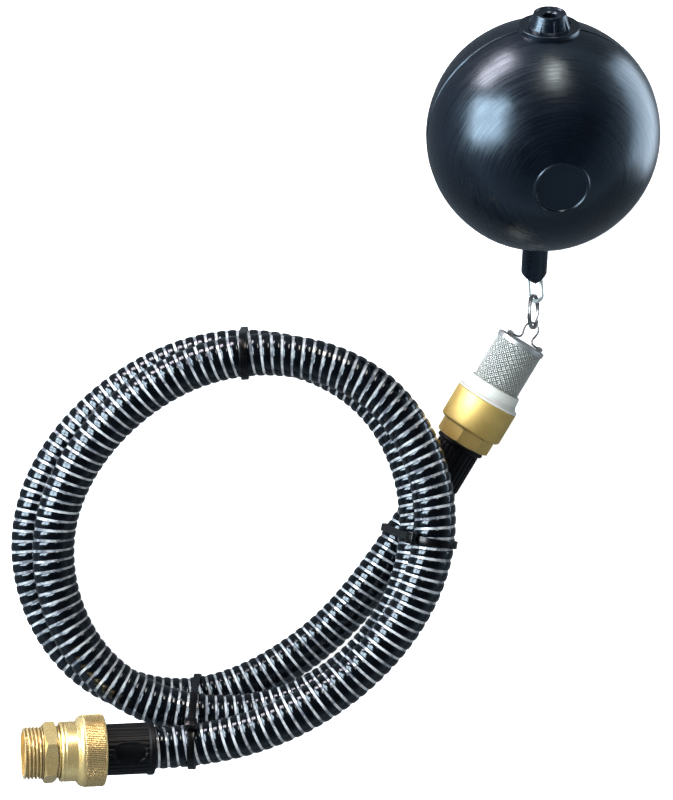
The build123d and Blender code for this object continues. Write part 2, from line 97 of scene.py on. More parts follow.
# cable ties: plan spot, heading of the strands, and where the lock head sits round the bundle
TIES = {
    "coil_tie_top": ((138.5, 254.0), 183.0, 90.0),
    "coil_tie_right": ((254.0, 134.0), 80.0, 215.0),
    "coil_tie_bottom": ((105.5, 12.0), 0.0, 214.8),
}
TIE_WIDTH, TIE_THICK, TIE_PLAY, TIE_REACH = 4.8, 1.3, 0.35, 34.0
TIE_HEAD = (5.2, 7.0, 7.6)
TIE_STEPS = 420               # mesh steps round a band, two to a tooth

# floor spot under the ball, where the floor's bright glowing stretch, seen only in reflections, starts
BALL_SPOT = (0.3313, 0.3947)

# depth in metres that counts as a groove for the painted groove shade, and dark share between the panes of a soft
# light
GROOVE_DEPTH, PANE_GAP = 0.0012, 0.12

# camera: straight above the set
CAMERA_PLACE = (0.1987, 0.2238, 1.303)
CAMERA_LENS = 92.6


# ==== frames ====
def frame_matrix(origin, x_way, z_way):
    z = Vector(z_way).normalized()
    y = z.cross(Vector(x_way)).normalized()
    matrix = Matrix((y.cross(z), y, z)).transposed().to_4x4()
    matrix.translation = Vector(origin)
    return matrix


def turn(angle, axis):
    return Matrix.Rotation(math.radians(angle), 4, axis)


def shift(x, y, z):
    return Matrix.Translation((x * MM, y * MM, z * MM))


def joint_place(name):
    return Vector(JOINTS[name]["pos_m"])


OUTLET = frame_matrix((0, 0, 0), (0, -1, 0), -Vector(frame["record"]["mounts"][0]["axis"]))
feet_way = Vector(JOINTS["bail_swing"]["axis"])
valve_way = -Vector(JOINTS["poppet_lift"]["axis"])
valve_start = joint_place("bail_swing") - feet_way * BAIL_SHIFT * MM - valve_way * BAIL_AXIS * MM
VALVE = frame_matrix(valve_start, feet_way, valve_way)
BAIL = VALVE @ shift(BAIL_SHIFT, 0, BAIL_AXIS) @ turn(-BAIL_DROOP, "X")
RING = Matrix.Translation(joint_place("ring_turn")) @ turn(RING_HEADING, "Z") @ turn(RING_LEAN, "Y")
pin_way = Vector(JOINTS["float_swing"]["axis"])
float_way = Vector((0, math.cos(math.radians(FLOAT_RISE)), math.sin(math.radians(FLOAT_RISE))))
float_centre = joint_place("float_swing") + float_way * PIN_POSITION * MM
FLOAT = frame_matrix(float_centre, pin_way.cross(float_way), float_way)
LINK = FLOAT @ shift(0, 0, -PIN_POSITION) @ turn(180 - LINK_PITCH, "X")
WORLD = Matrix.Identity(4)


# ==== mesh helpers ====
def smooth_step(value):
    value = np.clip(value, 0, 1)
    return value * value * (3 - 2 * value)


def circle(count):
    """Evenly spaced angles of one full turn."""
    return np.arange(count) * 2 * math.pi / count


def polar(radius, angle, *height):
    """Points from radius and angle, with an optional height."""
    return np.stack([radius * np.cos(angle), radius * np.sin(angle), *height], axis=-1)


def grid_faces(rows, columns, close_rows):
    """Quads of a grid whose vertices are stored row by row; every row is a closed loop."""
    row = np.arange(rows if close_rows else rows - 1)
    row, column = (part.ravel() for part in np.meshgrid(row, np.arange(columns), indexing="ij"))
    next_row, next_column = (row + 1) % rows, (column + 1) % columns
    corners = [row * columns + column, row * columns + next_column,
               next_row * columns + next_column, next_row * columns + column]
    return np.stack(corners, axis=1).tolist()


def capped_faces(rows, columns):
    """Quads of an open grid, with flat faces over its first and last row."""
    last = (rows - 1) * columns
    return grid_faces(rows, columns, False) + [list(range(columns))[::-1], list(range(last, last + columns))]


class Shape:
    """Collects vertices (mm) and faces of one piece."""

    def __init__(self):
        self.vertices = []
        self.faces = []

    def add(self, vertices, faces, matrix=None):
        vertices = np.asarray(vertices, float).reshape(-1, 3)
        if matrix is not None:
            turn_part = np.array(matrix.to_3x3())
            vertices = vertices @ turn_part.T + np.array(matrix.translation) / MM
        start = len(self.vertices)
        self.vertices.extend(vertices.tolist())
        self.faces.extend([[start + index for index in face] for face in faces])
        return self


def placed(name, data):
    """New object of the scene round its data."""
    item = bpy.data.objects.new(name, data)
    bpy.context.scene.collection.objects.link(item)
    return item


def finish_piece(name, shape, matrix, body, material, slot, node, sharp):
    """Piece that stands in for a node; edges sharper than the given degrees stay hard."""
    mesh = bpy.data.meshes.new(name)
    mesh.from_pydata([[c * MM for c in vertex] for vertex in shape.vertices], [], shape.faces)
    work = bmesh.new()
    work.from_mesh(mesh)
    bmesh.ops.remove_doubles(work, verts=work.verts, dist=1e-7)
    bmesh.ops.dissolve_degenerate(work, edges=work.edges, dist=1e-8)
    bmesh.ops.recalc_face_normals(work, faces=work.faces)
    work.to_mesh(mesh)
    work.free()
    local = np.empty(len(mesh.vertices) * 3, np.float32)
    mesh.vertices.foreach_get("co", local)
    mesh.attributes.new("local_place", "FLOAT_VECTOR", "POINT").data.foreach_set("vector", local)
    mesh.transform(matrix)
    mesh.polygons.foreach_set("use_smooth", [True] * len(mesh.polygons))
    mesh.set_sharp_from_angle(angle=math.radians(sharp))
    mesh.materials.append(material)
    piece = placed(name, mesh)
    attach(piece, body)
    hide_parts(node)


def rounded(points, radius, steps, closed=True):
    """Outline with each corner rounded; a point may give its own radius as a third number."""
    corners = [np.array(point[:2], float) for point in points]
    result = []
    count = len(points)
    for index, here in enumerate(corners):
        own = points[index][2] if len(points[index]) > 2 else radius
        if own <= 0 or (not closed and index in (0, count - 1)):
            result.append(here)
            continue
        before, after = corners[index - 1] - here, corners[(index + 1) % count] - here
        long_before, long_after = np.linalg.norm(before), np.linalg.norm(after)
        before, after = before / long_before, after / long_after
        half = math.acos(max(-1, min(1, float(before @ after)))) / 2
        reach = min(own / math.tan(half), 0.45 * long_before, 0.45 * long_after) if half < 1.55 else 0
        if reach < 1e-4:
            result.append(here)
            continue
        for step in range(steps + 1):
            share = step / steps
            first = here + before * reach * (1 - share)
            second = here + after * reach * share
            result.append(first * (1 - share) + second * share)
    return result


def lathe(profile, columns, reshape=None, closed=True):
    """Grid turned about local Z from (radius, z) points; reshape(radius, z, angle) may move them."""
    profile = np.array([point[:2] for point in profile], float)
    radius, height, around = np.broadcast_arrays(profile[:, :1], profile[:, 1:], circle(columns)[None, :])
    if reshape:
        radius, height = reshape(radius, height, around)
    return polar(radius, around, height).reshape(-1, 3), grid_faces(len(profile), columns, closed)


def dense(points, step):
    """Adds points so that no span of an open outline is longer than the step."""
    result = [np.array(points[0][:2], float)]
    for point in points[1:]:
        point = np.array(point[:2], float)
        spans = max(1, math.ceil(np.linalg.norm(point - result[-1]) / step))
        base = result[-1]
        result.extend(base + (point - base) * (index + 1) / spans for index in range(spans))
    return result


def curve_frames(points, closed=False):
    """Turning-free normals along a line of points, and the ways square to them."""
    if closed:
        tangents = np.roll(points, -1, axis=0) - np.roll(points, 1, axis=0)
    else:
        tangents = np.gradient(points, axis=0)
    tangents /= np.linalg.norm(tangents, axis=1)[:, None]
    start = np.cross(tangents[0], [0.0, 0.0, 1.0])
    if np.linalg.norm(start) < 0.1:
        start = np.cross(tangents[0], [0.0, 1.0, 0.0])
    normals = [start / np.linalg.norm(start)]
    for tangent in tangents[1:]:
        normal = normals[-1] - tangent * (normals[-1] @ tangent)
        normals.append(normal / np.linalg.norm(normal))
    normals = np.array(normals)
    return normals, np.cross(tangents, normals)


def carried(points, section, normals, others, closed=False):
    """Grid with a closed (u, v) section set on two ways at each point, with flat ends if the line is open."""
    places = (points[:, None, :] + section[None, :, :1] * normals[:, None, :]
              + section[None, :, 1:] * others[:, None, :])
    rows, columns = len(points), len(section)
    return places.reshape(-1, 3), grid_faces(rows, columns, True) if closed else capped_faces(rows, columns)


def sweep(points, section, closed=False):
    """Carries a section along a line in turning-free frames."""
    points = np.asarray(points, float)
    return carried(points, section, *curve_frames(points, closed), closed)


def disc_section(radius, sides):
    return polar(radius, circle(sides))


def box_section(width, height, radius, steps):
    w, h = width / 2, height / 2
    return np.array(rounded([(-w, -h), (w, -h), (w, h), (-w, h)], radius, steps))


def rounded_block(size, radius):
    """Box with rounded edges along Z and bevelled ends."""
    outline = box_section(size[0], size[1], radius, 2)
    half = size[2] / 2
    rows = []
    ends = [(half, radius), (half - radius * 0.3, radius * 0.3), (half - radius, 0)]
    for height, inset in [(-height, inset) for height, inset in ends] + ends[::-1]:
        scale = np.array([(size[0] / 2 - inset) / (size[0] / 2), (size[1] / 2 - inset) / (size[1] / 2)])
        flat = outline * scale
        rows.append(np.column_stack([flat, np.full(len(flat), height)]))
    return np.concatenate(rows), capped_faces(len(rows), len(outline))


def thread_wave(turns):
    """Rounded Whitworth-like crest, 0 in the root to 1 on the crest, against turns along the thread."""
    share = turns - np.floor(turns)
    rise = 1 - np.abs(2 * share - 1)
    return smooth_step((rise - 0.1) / 0.72)


def thread_reshape(start, end, major, minor, pitch):
    """Cuts a helical thread into the stretch of a lathe grid that lies on the major radius."""
    def reshape(radius, height, angle):
        inside = (height >= start) & (height <= end) & (np.abs(radius - major) < 0.01)
        fade = smooth_step((height - start) / (0.5 * pitch)) * smooth_step((end - height) / (0.6 * pitch))
        depth = (major - minor) * (1 - thread_wave(height / pitch - angle / (2 * math.pi)))
        lead = (1 - smooth_step((height - start) / (0.9 * pitch))) * 0.8 * (major - minor)
        cut = np.maximum(depth * np.clip(fade + 0.75, 0, 1), lead)
        cut = cut * smooth_step((end - height) / (0.35 * pitch))
        return np.where(inside, radius - cut, radius), height
    return reshape


def prism_grid(sides, flats, start, end, turn_angle, inner, slope):
    """Nut-shaped prism with cone-chamfered ends and a bore; corners fall on mesh columns."""
    steps = 14
    columns = sides * steps
    angle = math.radians(turn_angle) + circle(columns)
    local = (np.arange(columns) % steps) / steps * 2 * math.pi / sides - math.pi / sides
    reach = flats / 2 / np.cos(local)
    ring = flats / 2 - 0.15
    drop = (reach - ring) * slope
    rows = [(inner, start), (ring, start), (reach, start + drop),
            (reach, end - drop), (ring, end), (inner, end)]
    points = [polar(radius, angle, height + 0 * local) for radius, height in rows]
    return np.concatenate(points), grid_faces(len(rows), columns, True)


# ==== materials ====
class Paint:
    """Small helper round the node tree of one material or world."""

    def __init__(self, name, local=True, owner=None):
        """A local material reads the piece's own frame; any other reads the row frame."""
        self.owner = owner or bpy.data.materials.new(name)
        self.owner.use_nodes = True
        self.nodes = self.owner.node_tree.nodes
        if local:
            self.place = self.node("Attribute", attribute_name="local_place").outputs["Vector"]
        else:
            self.place = self.node("TexCoord").outputs["Object"]

    def feed(self, socket, value):
        """Links another node's output to the socket, or writes a plain value into it."""
        if isinstance(value, bpy.types.NodeSocket):
            self.owner.node_tree.links.new(value, socket)
        elif socket.type == "RGBA":
            socket.default_value = (*value, 1)
        else:
            socket.default_value = value

    def node(self, kind, inputs=None, **properties):
        """New node; inputs maps a socket's name or number to what feeds it."""
        node = self.nodes.new("ShaderNode" + kind)
        for name, value in properties.items():
            setattr(node, name, value)
        for key, value in (inputs or {}).items():
            self.feed(node.inputs[key], value)
        return node

    def math(self, operation, *values):
        return self.node("Math", dict(enumerate(values)), operation=operation).outputs[0]

    def times(self, first, second):
        return self.math("MULTIPLY", first, second)

    def vector(self, operation, *values):
        return self.node("VectorMath", dict(enumerate(values)), operation=operation).outputs["Vector"]

    def split(self, source=None):
        return self.node("SeparateXYZ", {0: source or self.place}).outputs

    def join(self, *scaled):
        """Vector from three (source, factor) pairs."""
        products = [self.times(source, factor) for source, factor in scaled]
        return self.node("CombineXYZ", dict(enumerate(products))).outputs[0]

    def around(self, x, y):
        """Angle and distance of a place seen along an axis."""
        square = self.math("ADD", self.times(x, x), self.times(y, y))
        return self.math("ARCTAN2", y, x), self.math("SQRT", square)

    def noise(self, scale, detail=2.0, vector=None, roughness=0.5, distortion=0.0):
        inputs = {"Scale": scale, "Detail": detail, "Roughness": roughness, "Distortion": distortion,
                  "Vector": vector or self.place}
        return self.node("TexNoise", inputs).outputs["Fac"]

    def band(self, source, low, high, out_low=0.0, out_high=1.0):
        inputs = {"Value": source, "From Min": low, "From Max": high, "To Min": out_low, "To Max": out_high}
        return self.node("MapRange", inputs).outputs["Result"]

    def blend(self, factor, first, second):
        return self.node("Mix", {0: factor, 6: first, 7: second}, data_type="RGBA").outputs[2]

    def worn(self, tone, pale, share, radius=0.0004):
        """The tone, turned paler on convex edges."""
        bevel = self.node("Bevel", {"Radius": radius}, samples=4).outputs[0]
        plain = self.node("NewGeometry").outputs["Normal"]
        dot = self.node("VectorMath", {0: bevel, 1: plain}, operation="DOT_PRODUCT").outputs["Value"]
        return self.blend(self.times(self.band(dot, 0.995, 0.9), share), tone, pale)

    def painted_groove_shade(self):
        """Painted shade: 1 down in grooves and corners, 0 on open faces."""
        shade = self.node("AmbientOcclusion", {"Distance": GROOVE_DEPTH}, samples=4).outputs["AO"]
        return self.band(shade, 0.85, 0.4)

    def finish(self, colour, rough, bumps, **values):
        """Feeds the shader; bumps is a chain of (height source, distance in mm)."""
        sockets = self.nodes["Principled BSDF"].inputs
        target = sockets["Normal"]
        for height, distance in reversed(bumps):
            bump = self.node("Bump", {"Strength": 1.0, "Distance": distance * MM, "Height": height})
            self.feed(target, bump.outputs["Normal"])
            target = bump.inputs["Normal"]
        for name, value in {"Base Color": colour, "Roughness": rough, **values}.items():
            self.feed(sockets[name.replace("_", " ")], value)
        return self.owner


def brass(name, axis_frame, bright, dull, roughness):
    """Turned brass: fine lathe lines round the axis, slight tarnish, paler worn edges, painted shade in grooves
    and corners.
    """
    paint = Paint(name)
    x, y, z = paint.split()
    angle, radius = paint.around(x, y)
    lines = paint.noise(1.0, 3.0, paint.join((angle, 1.2), (z, 5200), (radius, 5200)), 0.7)
    stains = paint.noise(60, 3.0)
    fine = paint.noise(1500)
    tone = paint.blend(paint.band(stains, 0.35, 0.7), bright, dull)
    tone = paint.blend(paint.band(lines, 0.3, 0.75, 0, 0.35), tone, dull)
    # painted shade: grooves and corners darkened towards dark brown
    tone = paint.blend(paint.painted_groove_shade(), tone, (0.26, 0.14, 0.04))
    rough = paint.math("ADD", paint.band(lines, 0.25, 0.8, roughness - 0.06, roughness + 0.1),
                       paint.band(fine, 0.4, 0.8, 0, 0.06))
    position = paint.node("NewGeometry").outputs["Position"]
    spoke = paint.vector("SUBTRACT", position, tuple(axis_frame.translation))
    way = paint.vector("CROSS_PRODUCT", spoke, tuple(axis_frame.col[2][:3]))
    return paint.finish(paint.worn(tone, (1.0, 0.90, 0.62), 0.6), rough, [(lines, 0.006), (fine, 0.001)],
                        Metallic=0.8, Anisotropic=0.5, Tangent=paint.vector("NORMALIZE", way))


def moulded_black(name, colour, sheen, roughness, grain, shine):
    """Moulded black plastic: fine grain, slight flow marks, paler rubbed edges."""
    paint = Paint(name)
    flow = paint.noise(90, 4.0, None, 0.6, 0.6)
    tone = paint.blend(paint.band(flow, 0.4, 0.75), colour, sheen)
    rough = paint.band(flow, 0.3, 0.75, roughness - 0.07, roughness + 0.1)
    return paint.finish(paint.worn(tone, (0.03, 0.032, 0.036), 0.35), rough,
                        [(flow, 0.05), (paint.noise(2600), grain)], Specular_IOR_Level=shine)


def rubber():
    paint = Paint("rubber", False)
    speck = paint.noise(1800, 3.0)
    tone = paint.blend(speck, (0.012, 0.012, 0.013), (0.035, 0.035, 0.036))
    return paint.finish(tone, paint.band(speck, 0.3, 0.8, 0.55, 0.8), [(speck, 0.02)])


def hose_rib_plastic():
    """Glossy black spiral with faint waves along it and tiny scuffs."""
    paint = Paint("hose_rib", False)
    cloud = paint.noise(170, 3.0)
    scuff = paint.noise(900, 4.0, None, 0.7)
    tone = paint.blend(paint.band(cloud, 0.35, 0.7), (0.0006, 0.0008, 0.0012), (0.0018, 0.0026, 0.004))
    return paint.finish(tone, paint.band(scuff, 0.35, 0.8, 0.07, 0.2), [(cloud, 0.16), (scuff, 0.015)],
                        Specular_IOR_Level=0.5, Specular_Tint=(0.8, 0.92, 1.0))


def hose_wall_plastic():
    """Clear wall between the turns: watery grey that catches the light, with pale painted glints on the wrinkles.
    """
    paint = Paint("hose_wall", False)
    cloud = paint.noise(110)
    wrinkle_and_glint = paint.noise(600, 3.0, None, 0.6, 0.5)
    tone = paint.blend(paint.band(cloud, 0.38, 0.62), (0.09, 0.10, 0.12), (0.46, 0.49, 0.51))
    # painted glints: pale spots where the wrinkle noise peaks
    tone = paint.blend(paint.band(wrinkle_and_glint, 0.58, 0.75), tone, (0.62, 0.64, 0.65))
    return paint.finish(tone, paint.band(wrinkle_and_glint, 0.3, 0.7, 0.05, 0.18), [(cloud, 0.3), (wrinkle_and_glint, 0.06)],
                        Specular_IOR_Level=0.9, Coat_Weight=0.8, Coat_Roughness=0.03)


def nylon_white():
    paint = Paint("nylon_white", False)
    cloud = paint.noise(120, 3.0)
    grain = paint.noise(2200)
    tone = paint.worn(paint.blend(cloud, (0.52, 0.545, 0.50), (0.58, 0.60, 0.57)), (0.64, 0.65, 0.63), 0.6)
    return paint.finish(tone, paint.band(grain, 0.3, 0.8, 0.3, 0.5), [(cloud, 0.03), (grain, 0.01)],
                        Subsurface_Weight=0.25, Subsurface_Scale=0.002)


def bright_steel(name, pale, dark, roughness, metal=1.0):
    """Plain wire or sheet with faint clouding and fine scratches."""
    paint = Paint(name, False)
    scratch = paint.noise(700, 4.0, None, 0.65)
    tone = paint.blend(paint.band(paint.noise(140, 3.0), 0.3, 0.75), pale, dark)
    rough = paint.band(scratch, 0.3, 0.8, roughness - 0.08, roughness + 0.12)
    return paint.finish(tone, rough, [(scratch, 0.012)], Metallic=metal)


def wire_cloth():
    """Dull stainless wires, with the layer behind them in shade."""
    paint = Paint("wire_cloth_finish")
    radius = paint.around(*paint.split()[:2])[1]
    front = paint.band(radius, (MESH_RADIUS - 0.95) * MM, (MESH_RADIUS - 0.35) * MM)
    fine = paint.noise(2500)
    tone = paint.blend(paint.band(fine, 0.3, 0.7), (0.44, 0.46, 0.43), (0.56, 0.58, 0.55))
    return paint.finish(paint.blend(front, (0.10, 0.105, 0.10), tone), paint.band(fine, 0.3, 0.7, 0.32, 0.42),
                        [(fine, 0.003)], Metallic=0.55)


def float_plastic():
    """Glossy near-black blow-moulded plastic with fine arc-shaped scuffs round the seam's poles."""
    paint = Paint("float_plastic")
    x, y, z = paint.split()
    angle, across = paint.around(x, z)
    arcs = paint.noise(1.0, 3.0, paint.join((angle, 1.6), (across, 900), (y, 500)), 0.65)
    cloud = paint.noise(28, 3.0)
    tone = paint.blend(paint.band(cloud, 0.35, 0.7), (0.0008, 0.0015, 0.0034), (0.0018, 0.0032, 0.0068))
    rough = paint.math("ADD", paint.band(arcs, 0.35, 0.75, 0.2, 0.34), paint.band(cloud, 0.3, 0.7, 0, 0.05))
    return paint.finish(paint.worn(tone, (0.06, 0.07, 0.09), 0.3, 0.0006), rough,
                        [(cloud, 0.6), (arcs, 0.03), (paint.noise(1400), 0.004)],
                        Specular_IOR_Level=0.6, Specular_Tint=(0.66, 0.84, 1.0))


# brass: paler and darker tone, roughness
BRASS_MACHINED = brass("brass_machined_finish", OUTLET, (0.97, 0.77, 0.37), (0.82, 0.60, 0.25), 0.25)
BRASS_BRUSHED = brass("brass_brushed_finish", VALVE, (0.84, 0.61, 0.21), (0.64, 0.44, 0.13), 0.45)
# black plastics: base and flow-mark tone, roughness, grain height in mm, specular level
CUFF_BLACK = moulded_black("cuff_plastic", (0.0006, 0.0007, 0.001), (0.0014, 0.0016, 0.002),
                           0.42, 0.006, 0.28)
TIE_BLACK = moulded_black("tie_plastic", (0.0006, 0.0006, 0.0008), (0.0012, 0.0012, 0.0014),
                          0.26, 0.004, 0.32)
RUBBER = rubber()
RIB_BLACK = hose_rib_plastic()
WALL_CLEAR = hose_wall_plastic()
NYLON = nylon_white()
# metals: paler and darker tone, roughness, metallic share
STEEL = bright_steel("stainless_finish", (0.66, 0.67, 0.65), (0.50, 0.51, 0.50), 0.36, 0.85)
DARK_STEEL = bright_steel("dark_wire_finish", (0.42, 0.42, 0.41), (0.24, 0.24, 0.235), 0.36)
CLOTH = wire_cloth()
ZINC = bright_steel("zinc_finish", (0.62, 0.70, 0.68), (0.50, 0.58, 0.57), 0.42, 0.5)
FLOAT_BLACK = float_plastic()


# ==== outlet ====
def outlet_nipple():
    """Threaded mouth, hexagon and plain neck on one bore."""
    major, root, collar = THREAD_MAJOR, HEX_START - 0.2, HEX_START + 0.3
    shape = Shape()
    outline = [(13.9, 0.25), (14.1, 0.0), (14.9, 0.0), (15.3, 0.3), (15.3, 0.5), (major, 0.52)]
    outline += [(major, root - 0.4), (14.95, root - 0.3), (14.95, collar), (NIPPLE_BORE + 0.6, collar)]
    inner = [(NIPPLE_BORE, HEX_START - 1), (NIPPLE_BORE, 3.2), (13.9, 2.8)]
    grid = dense(outline, 0.14) + dense(inner, 1.0)
    shape.add(*lathe(grid, 180, thread_reshape(0.52, root - 0.4, major, THREAD_MINOR, THREAD_PITCH)))
    shape.add(*prism_grid(6, HEX_FLATS, HEX_START, HEX_END, HEX_TURN, NIPPLE_BORE, 0.55))
    low, high = HEX_END - 0.3, NIPPLE_END - 0.1
    neck = [(NIPPLE_BORE, low), (THREAD_MINOR, low), (THREAD_MINOR, high), (NIPPLE_BORE, high)]
    shape.add(*lathe(rounded(neck, 0.1, 1), 120))
    ridge = [(14.0, 21.3), (16.3, 21.35), (16.45, 21.8), (16.3, 22.3), (14.0, 22.35)]
    return shape.add(*lathe(ridge, 120))


def union_nut():
    """Smooth front, swelling shoulder, straight-knurled rear ring."""
    front, start, end = NUT_START, KNURL_START, NUT_END
    outer = rounded([(16.9, front), (18.3, front), (19.0, front + 0.9), (19.0, front + 2.0),
                     (18.7, front + 2.3), (18.7, front + 2.7), (19.0, front + 3.0), (19.0, start - 4.0),
                     (19.9, start - 3.4), (21.3, start - 2.4), (22.2, start - 1.2), (22.4, start),
                     (22.9, start + 0.9), (22.95, end - 1.6), (22.5, end - 0.5), (21.6, end), (17.2, end)],
                    0.5, 4, False)
    inner = rounded([(17.2, NUT_RECESS), (14.2, NUT_RECESS), (14.2, NUT_LIP), (17.2, NUT_LIP),
                     (17.2, NIPPLE_END), (15.5, NIPPLE_END - 0.1), (15.5, front + 0.9)], 0.2, 1, False)

    def knurl(radius, height, angle):
        teeth = angle * KNURL_TEETH / (2 * math.pi)
        share = teeth - np.floor(teeth)
        groove = 1 - smooth_step(np.abs(2 * share - 1) / 0.8)
        zone = smooth_step((height - start) / 0.8) * smooth_step((end - 0.6 - height) / 1.2) * (radius > 21.6)
        return radius - 0.75 * groove * zone, height

    return Shape().add(*lathe(dense(outer, 0.8) + inner, KNURL_TEETH * 6, knurl))


def cuff_ribs(count, start, end, height, recess=None):
    """Rounded grip ribs on a cuff's outside, with optional arched thumb recesses."""
    def reshape(radius, place, angle):
        wave = angle * count / (2 * math.pi)
        share = np.abs((wave - np.floor(wave)) * 2 - 1)
        rib = smooth_step((share - 0.25) / 0.4)
        zone = smooth_step((place - start) / 1.2) * smooth_step((end - place) / 0.8) * (radius > 13.9)
        radius = radius + height * rib * zone
        if recess:
            middle, long, wide, floor_radius = recess
            for side in (-1, 1):
                across = radius * np.cos(angle)
                front = side * np.sin(angle) > 0
                run = np.maximum(np.abs(place - middle) - (long - wide) / 2, 0)
                gap = np.sqrt(run * run + across * across) - wide / 2
                inside = smooth_step(-gap / 1.2) * front * (zone > 0)
                ridge = np.exp(-(gap / 0.5) ** 2) * front * (zone > 0)
                radius = radius * (1 - inside) + floor_radius * inside + 0.12 * ridge
        return radius, place
    return reshape


def outlet_cuff():
    end, lip = OUTLET_CUFF_END, NUT_RECESS + 0.2
    outer = [(14.05, NUT_LIP + 0.1), (14.05, lip), (15.9, lip), (16.0, lip + 1), (16.0, end - 4.2),
             (17.2, end - 3.5), (17.3, end - 0.6), (16.7, end), (13.9, end)]
    outer = dense(rounded(outer, 0.4, 3, False), 0.45)
    inner = [(13.8, end - 2), (13.8, OUTLET_SOCKET), (10.1, OUTLET_SOCKET), (10.1, TAIL_FLANGE),
             (16.3, TAIL_FLANGE), (16.3, NUT_LIP - 0.2), (14.05, NUT_LIP - 0.15)]
    reshape = cuff_ribs(30, NUT_END + 0.5, end - 3.8, 0.35, (66.3, 22.0, 13.0, 15.65))
    return Shape().add(*lathe(outer + inner, 480, reshape))


# ==== hose ====
def hose_knots():
    """Centreline points from the outlet cuff, round the coil, to the valve's cuff."""
    knots = [np.array(OUTLET @ Vector((0, 0, (OUTLET_CUFF_END + 2) * MM))) / MM]
    for plan_angle, radius, height in COIL_POINTS:
        angle = math.radians(plan_angle)
        knots.append(np.array([COIL_CENTRE[0] + radius * math.cos(angle),
                               COIL_CENTRE[1] + radius * math.sin(angle), height - OUTLET_HEIGHT]))
    knots.append(np.array(VALVE @ Vector((0, 0, -2 * MM))) / MM)
    return np.array(knots)


def hose_line():
    """Clamped cubic spline through the knots, straight inside both cuffs, as closely spaced points."""
    knots = hose_knots()
    spans = np.linalg.norm(np.diff(knots, axis=0), axis=1)
    count = len(knots)
    table, right = np.zeros((count, count)), np.zeros((count, 3))
    table[0, 0] = table[-1, -1] = 1
    right[0], right[-1] = np.array(OUTLET.col[2][:3]), np.array(VALVE.col[2][:3])
    for index in range(1, count - 1):
        before, after = spans[index - 1], spans[index]
        table[index, index - 1:index + 2] = (1 / before, 2 / before + 2 / after, 1 / after)
        rise_before, rise_after = knots[index] - knots[index - 1], knots[index + 1] - knots[index]
        right[index] = 3 * (rise_before / before ** 2 + rise_after / after ** 2)
    slopes = np.linalg.solve(table, right)
    points = [knots[0] - right[0] * (18.0 - step) for step in range(18)]
    for index, span in enumerate(spans):
        share = np.arange(0, 1, 1 / 60)[:, None]
        points.extend((2 * share ** 3 - 3 * share ** 2 + 1) * knots[index]
                      + (share ** 3 - 2 * share ** 2 + share) * span * slopes[index]
                      + (-2 * share ** 3 + 3 * share ** 2) * knots[index + 1]
                      + (share ** 3 - share ** 2) * span * slopes[index + 1])
    points.extend(knots[-1] + right[-1] * step for step in range(24))
    return np.array(points)


LINE = hose_line()
LINE_FRAMES = curve_frames(LINE)
LENGTH = np.concatenate([[0], np.cumsum(np.linalg.norm(np.diff(LINE, axis=0), axis=1))])


def hose_surface(along, angle, radius):
    """Points at a length along the hose's centreline, and at an angle and radius round it."""
    along, angle, radius = np.broadcast_arrays(along, angle, radius)
    centre, normal, other = (
        np.stack([np.interp(along, LENGTH, values[:, axis]) for axis in range(3)], axis=-1)
        for values in (LINE, *LINE_FRAMES))
    return centre + radius[..., None] * (np.cos(angle)[..., None] * normal + np.sin(angle)[..., None] * other)


def hose_rib():
    """The black spiral: one rounded bar wound round the wall with a steady pitch."""
    total = LENGTH[-1]
    half = RIB_WIDTH / 2
    turns = (total - 2 * half - 1) / RIB_PITCH
    rows = int(turns * RIB_STEPS)
    angle = np.arange(rows) * 2 * math.pi / RIB_STEPS
    middle = half + 0.5 + angle * RIB_PITCH / (2 * math.pi)
    top, low = HOSE_RADIUS, WALL_RADIUS - 0.5
    flank = [(half, low), (half, WALL_RADIUS), (half - 0.12, 13.3), (half - 0.45, 13.52), (half - 1.1, 13.68),
             (0.7, top)]
    outline = np.array([(-along, radius) for along, radius in flank] + flank[::-1])
    points = hose_surface(middle[:, None] + outline[None, :, 0], angle[:, None], outline[None, :, 1])
    return Shape().add(points, capped_faces(rows, len(outline)))


def hose_wall():
    total = LENGTH[-1]
    rows, columns = int(total / 2.2), 36
    angle = circle(columns)[None, :]
    outer = hose_surface(np.linspace(0, total, rows)[:, None], angle, WALL_RADIUS)
    inner = hose_surface(np.linspace(total, 0, rows // 2)[:, None], angle, HOSE_BORE)
    return Shape().add(np.concatenate([outer.reshape(-1, 3), inner.reshape(-1, 3)]),
                       grid_faces(rows + rows // 2, columns, True))


# ==== cable ties ====
def crossings(origin, across, along):
    """Local (x, y) and radius of the strands that cross a tie's plane."""
    local = (LINE - origin) @ np.array([across, (0, 0, -1), along]).T
    found = []
    for near, far in zip(local, local[1:]):
        if near[2] * far[2] <= 0 and abs(near[0]) < TIE_REACH and near[2] != far[2]:
            run = far - near
            place = near + run * (near[2] / (near[2] - far[2]))
            square = abs(run[2]) / np.linalg.norm(run)
            lean = math.sqrt(1 - square * square) / square
            found.append((place[:2], HOSE_RADIUS / square + lean * TIE_WIDTH / 2 + TIE_PLAY))
    return found


def hull(points):
    """Convex outline, counter-clockwise."""
    points = sorted(map(tuple, points))

    def half(run):
        chain = []
        for point in run:
            while len(chain) > 1 and ((chain[-1][0] - chain[-2][0]) * (point[1] - chain[-2][1])
                                      - (chain[-1][1] - chain[-2][1]) * (point[0] - chain[-2][0])) <= 0:
                chain.pop()
            chain.append(point)
        return chain[:-1]
    return np.array(half(points) + half(points[::-1]))


def even_loop(outline, count):
    """Evenly spaced points along a closed outline."""
    closed = np.vstack([outline, outline[:1]])
    length = np.concatenate([[0], np.cumsum(np.linalg.norm(np.diff(closed, axis=0), axis=1))])
    place = np.arange(count) * length[-1] / count
    return np.stack([np.interp(place, length, closed[:, axis]) for axis in range(2)], axis=1)


